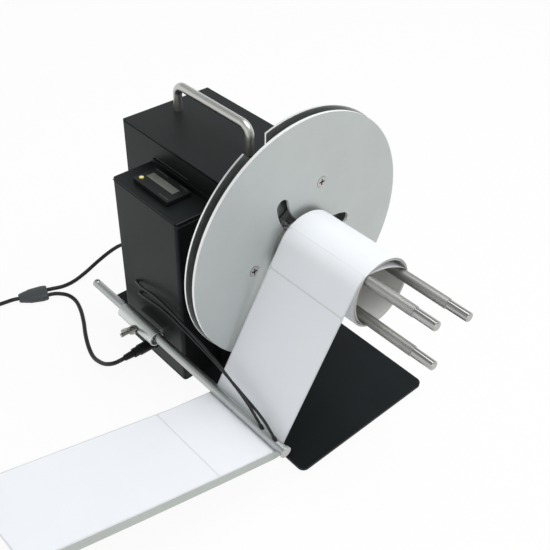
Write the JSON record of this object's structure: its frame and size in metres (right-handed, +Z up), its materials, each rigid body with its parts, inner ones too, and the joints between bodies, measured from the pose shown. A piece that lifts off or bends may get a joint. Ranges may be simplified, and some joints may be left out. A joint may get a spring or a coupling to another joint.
{
  "type": "label rewinder",
  "caption": "Desktop label rewinder: black motor case with a steel handle, a label counter beside it, two aluminium discs, knurled core rods with a paper roll, a guide rod and a power lead",
  "frame": {"origin": "on the table under the machine, straight below the point where the spindle axis meets the front face of the front disc", "axes": "+Z is up, -Y is the way the core rods point and the disc faces, +X is to the right seen from the disc side; the label counter stands on the -X side"},
  "size_m": [0.4178, 0.4235, 0.2642],
  "materials": {
    "black_paint": "fine satin powder coat",
    "black_rubber": "matt",
    "black_plastic": "satin moulded",
    "satin_aluminium": "satin",
    "bare_steel": "bright turned",
    "polished_steel": "polished",
    "label_paper": "smooth, matt",
    "display_glass": "clear window over a grey-green display",
    "button_yellow": "satin",
    "board_green": "lacquered board"
  },
  "bodies": {
    "machine": {"base_plate": "black_paint", "main_case": "black_paint", "rear_panel": "black_paint", "counter_case": "black_paint", "counter_lid": "black_paint", "base_mat": "black_rubber", "cable_outlets": "black_rubber", "counter_lead": "black_rubber", "rear_lead": "black_rubber", "supply_lead": "black_rubber", "counter_body": "black_plastic", "counter_bezel": "black_plastic", "rear_socket": "black_plastic", "rear_plug": "black_plastic", "counter_socket": "black_plastic", "counter_plug": "black_plastic", "switch_frame": "black_plastic", "lead_fork": "black_plastic", "supply_socket": "black_plastic", "bearing_housing": "satin_aluminium", "clamp_block": "satin_aluminium", "case_screws": "bare_steel", "panel_screws": "bare_steel", "bearings": "bare_steel", "motor_bracket": "bare_steel", "gearmotor": "bare_steel", "board_posts": "bare_steel", "handle_screws": "bare_steel", "handle": "polished_steel", "label_strip": "label_paper", "counter_window": "display_glass", "control_board": "board_green"},
    "spindle": {"motor_shaft": "bare_steel", "shaft_coupling": "satin_aluminium", "spindle_shaft": "bare_steel", "rear_collar": "bare_steel", "spindle_bolt": "bare_steel", "front_disc": "satin_aluminium", "pivot_screws": "bare_steel", "label_roll": "label_paper"},
    "cam_disc": {"rear_disc": "satin_aluminium"},
    "arm_a": {"arm_a": "bare_steel", "rod_a": "bare_steel"},
    "arm_b": {"arm_b": "bare_steel", "rod_b": "bare_steel"},
    "arm_c": {"arm_c": "bare_steel", "rod_c": "bare_steel"},
    "guide": {"guide_rod": "satin_aluminium", "guide_cap": "satin_aluminium", "sensors": "black_plastic", "cable_a": "black_rubber", "cable_b": "black_rubber"},
    "wing": {"wing_screw": "bare_steel"},
    "button": {"reset_button": "button_yellow"},
    "rocker": {"switch_rocker": "black_plastic"}
  },
  "joints": [
    {"name": "spindle_spin", "type": "hinge", "parent": "machine", "child": "spindle", "pos_m": [0, 0, 0.1535], "axis": [0, 1, 0], "continuous": true},
    {"name": "cam_turn", "type": "hinge", "parent": "spindle", "child": "cam_disc", "pos_m": [0, 0, 0.1535], "axis": [0, 1, 0], "range_deg": [-21, 0]},
    {"name": "arm_a_swing", "type": "hinge", "parent": "spindle", "child": "arm_a", "pos_m": [0.01886, 0, 0.20067], "axis": [0, 1, 0], "range_deg": [-14, 0]},
    {"name": "arm_b_swing", "type": "hinge", "parent": "spindle", "child": "arm_b", "pos_m": [-0.05028, 0, 0.14625], "axis": [0, 1, 0], "range_deg": [-14, 0]},
    {"name": "arm_c_swing", "type": "hinge", "parent": "spindle", "child": "arm_c", "pos_m": [0.03141, 0, 0.11358], "axis": [0, 1, 0], "range_deg": [-14, 0]},
    {"name": "guide_slide", "type": "slide", "parent": "machine", "child": "guide", "axis": [0, 1, 0], "range_m": [-0.03, 0.004]},
    {"name": "wing_turn", "type": "hinge", "parent": "machine", "child": "wing", "pos_m": [-0.1055, 0.098, 0.0485], "axis": [-1, 0, 0], "range_deg": [0, 360]},
    {"name": "reset_press", "type": "slide", "parent": "machine", "child": "button", "axis": [0, 0, 1], "range_m": [-0.0008, 0], "stiffness_N_per_m": 300, "springref_m": 0.001},
    {"name": "switch_rock", "type": "hinge", "parent": "machine", "child": "rocker", "pos_m": [0.015, 0.177, 0.034], "axis": [1, 0, 0], "range_deg": [-16, 0]}
  ],
  "couplings": [
    {"joint": "arm_a_swing", "follows": "cam_turn", "ratio": 0.66667},
    {"joint": "arm_b_swing", "follows": "cam_turn", "ratio": 0.66667},
    {"joint": "arm_c_swing", "follows": "cam_turn", "ratio": 0.66667}
  ]
}
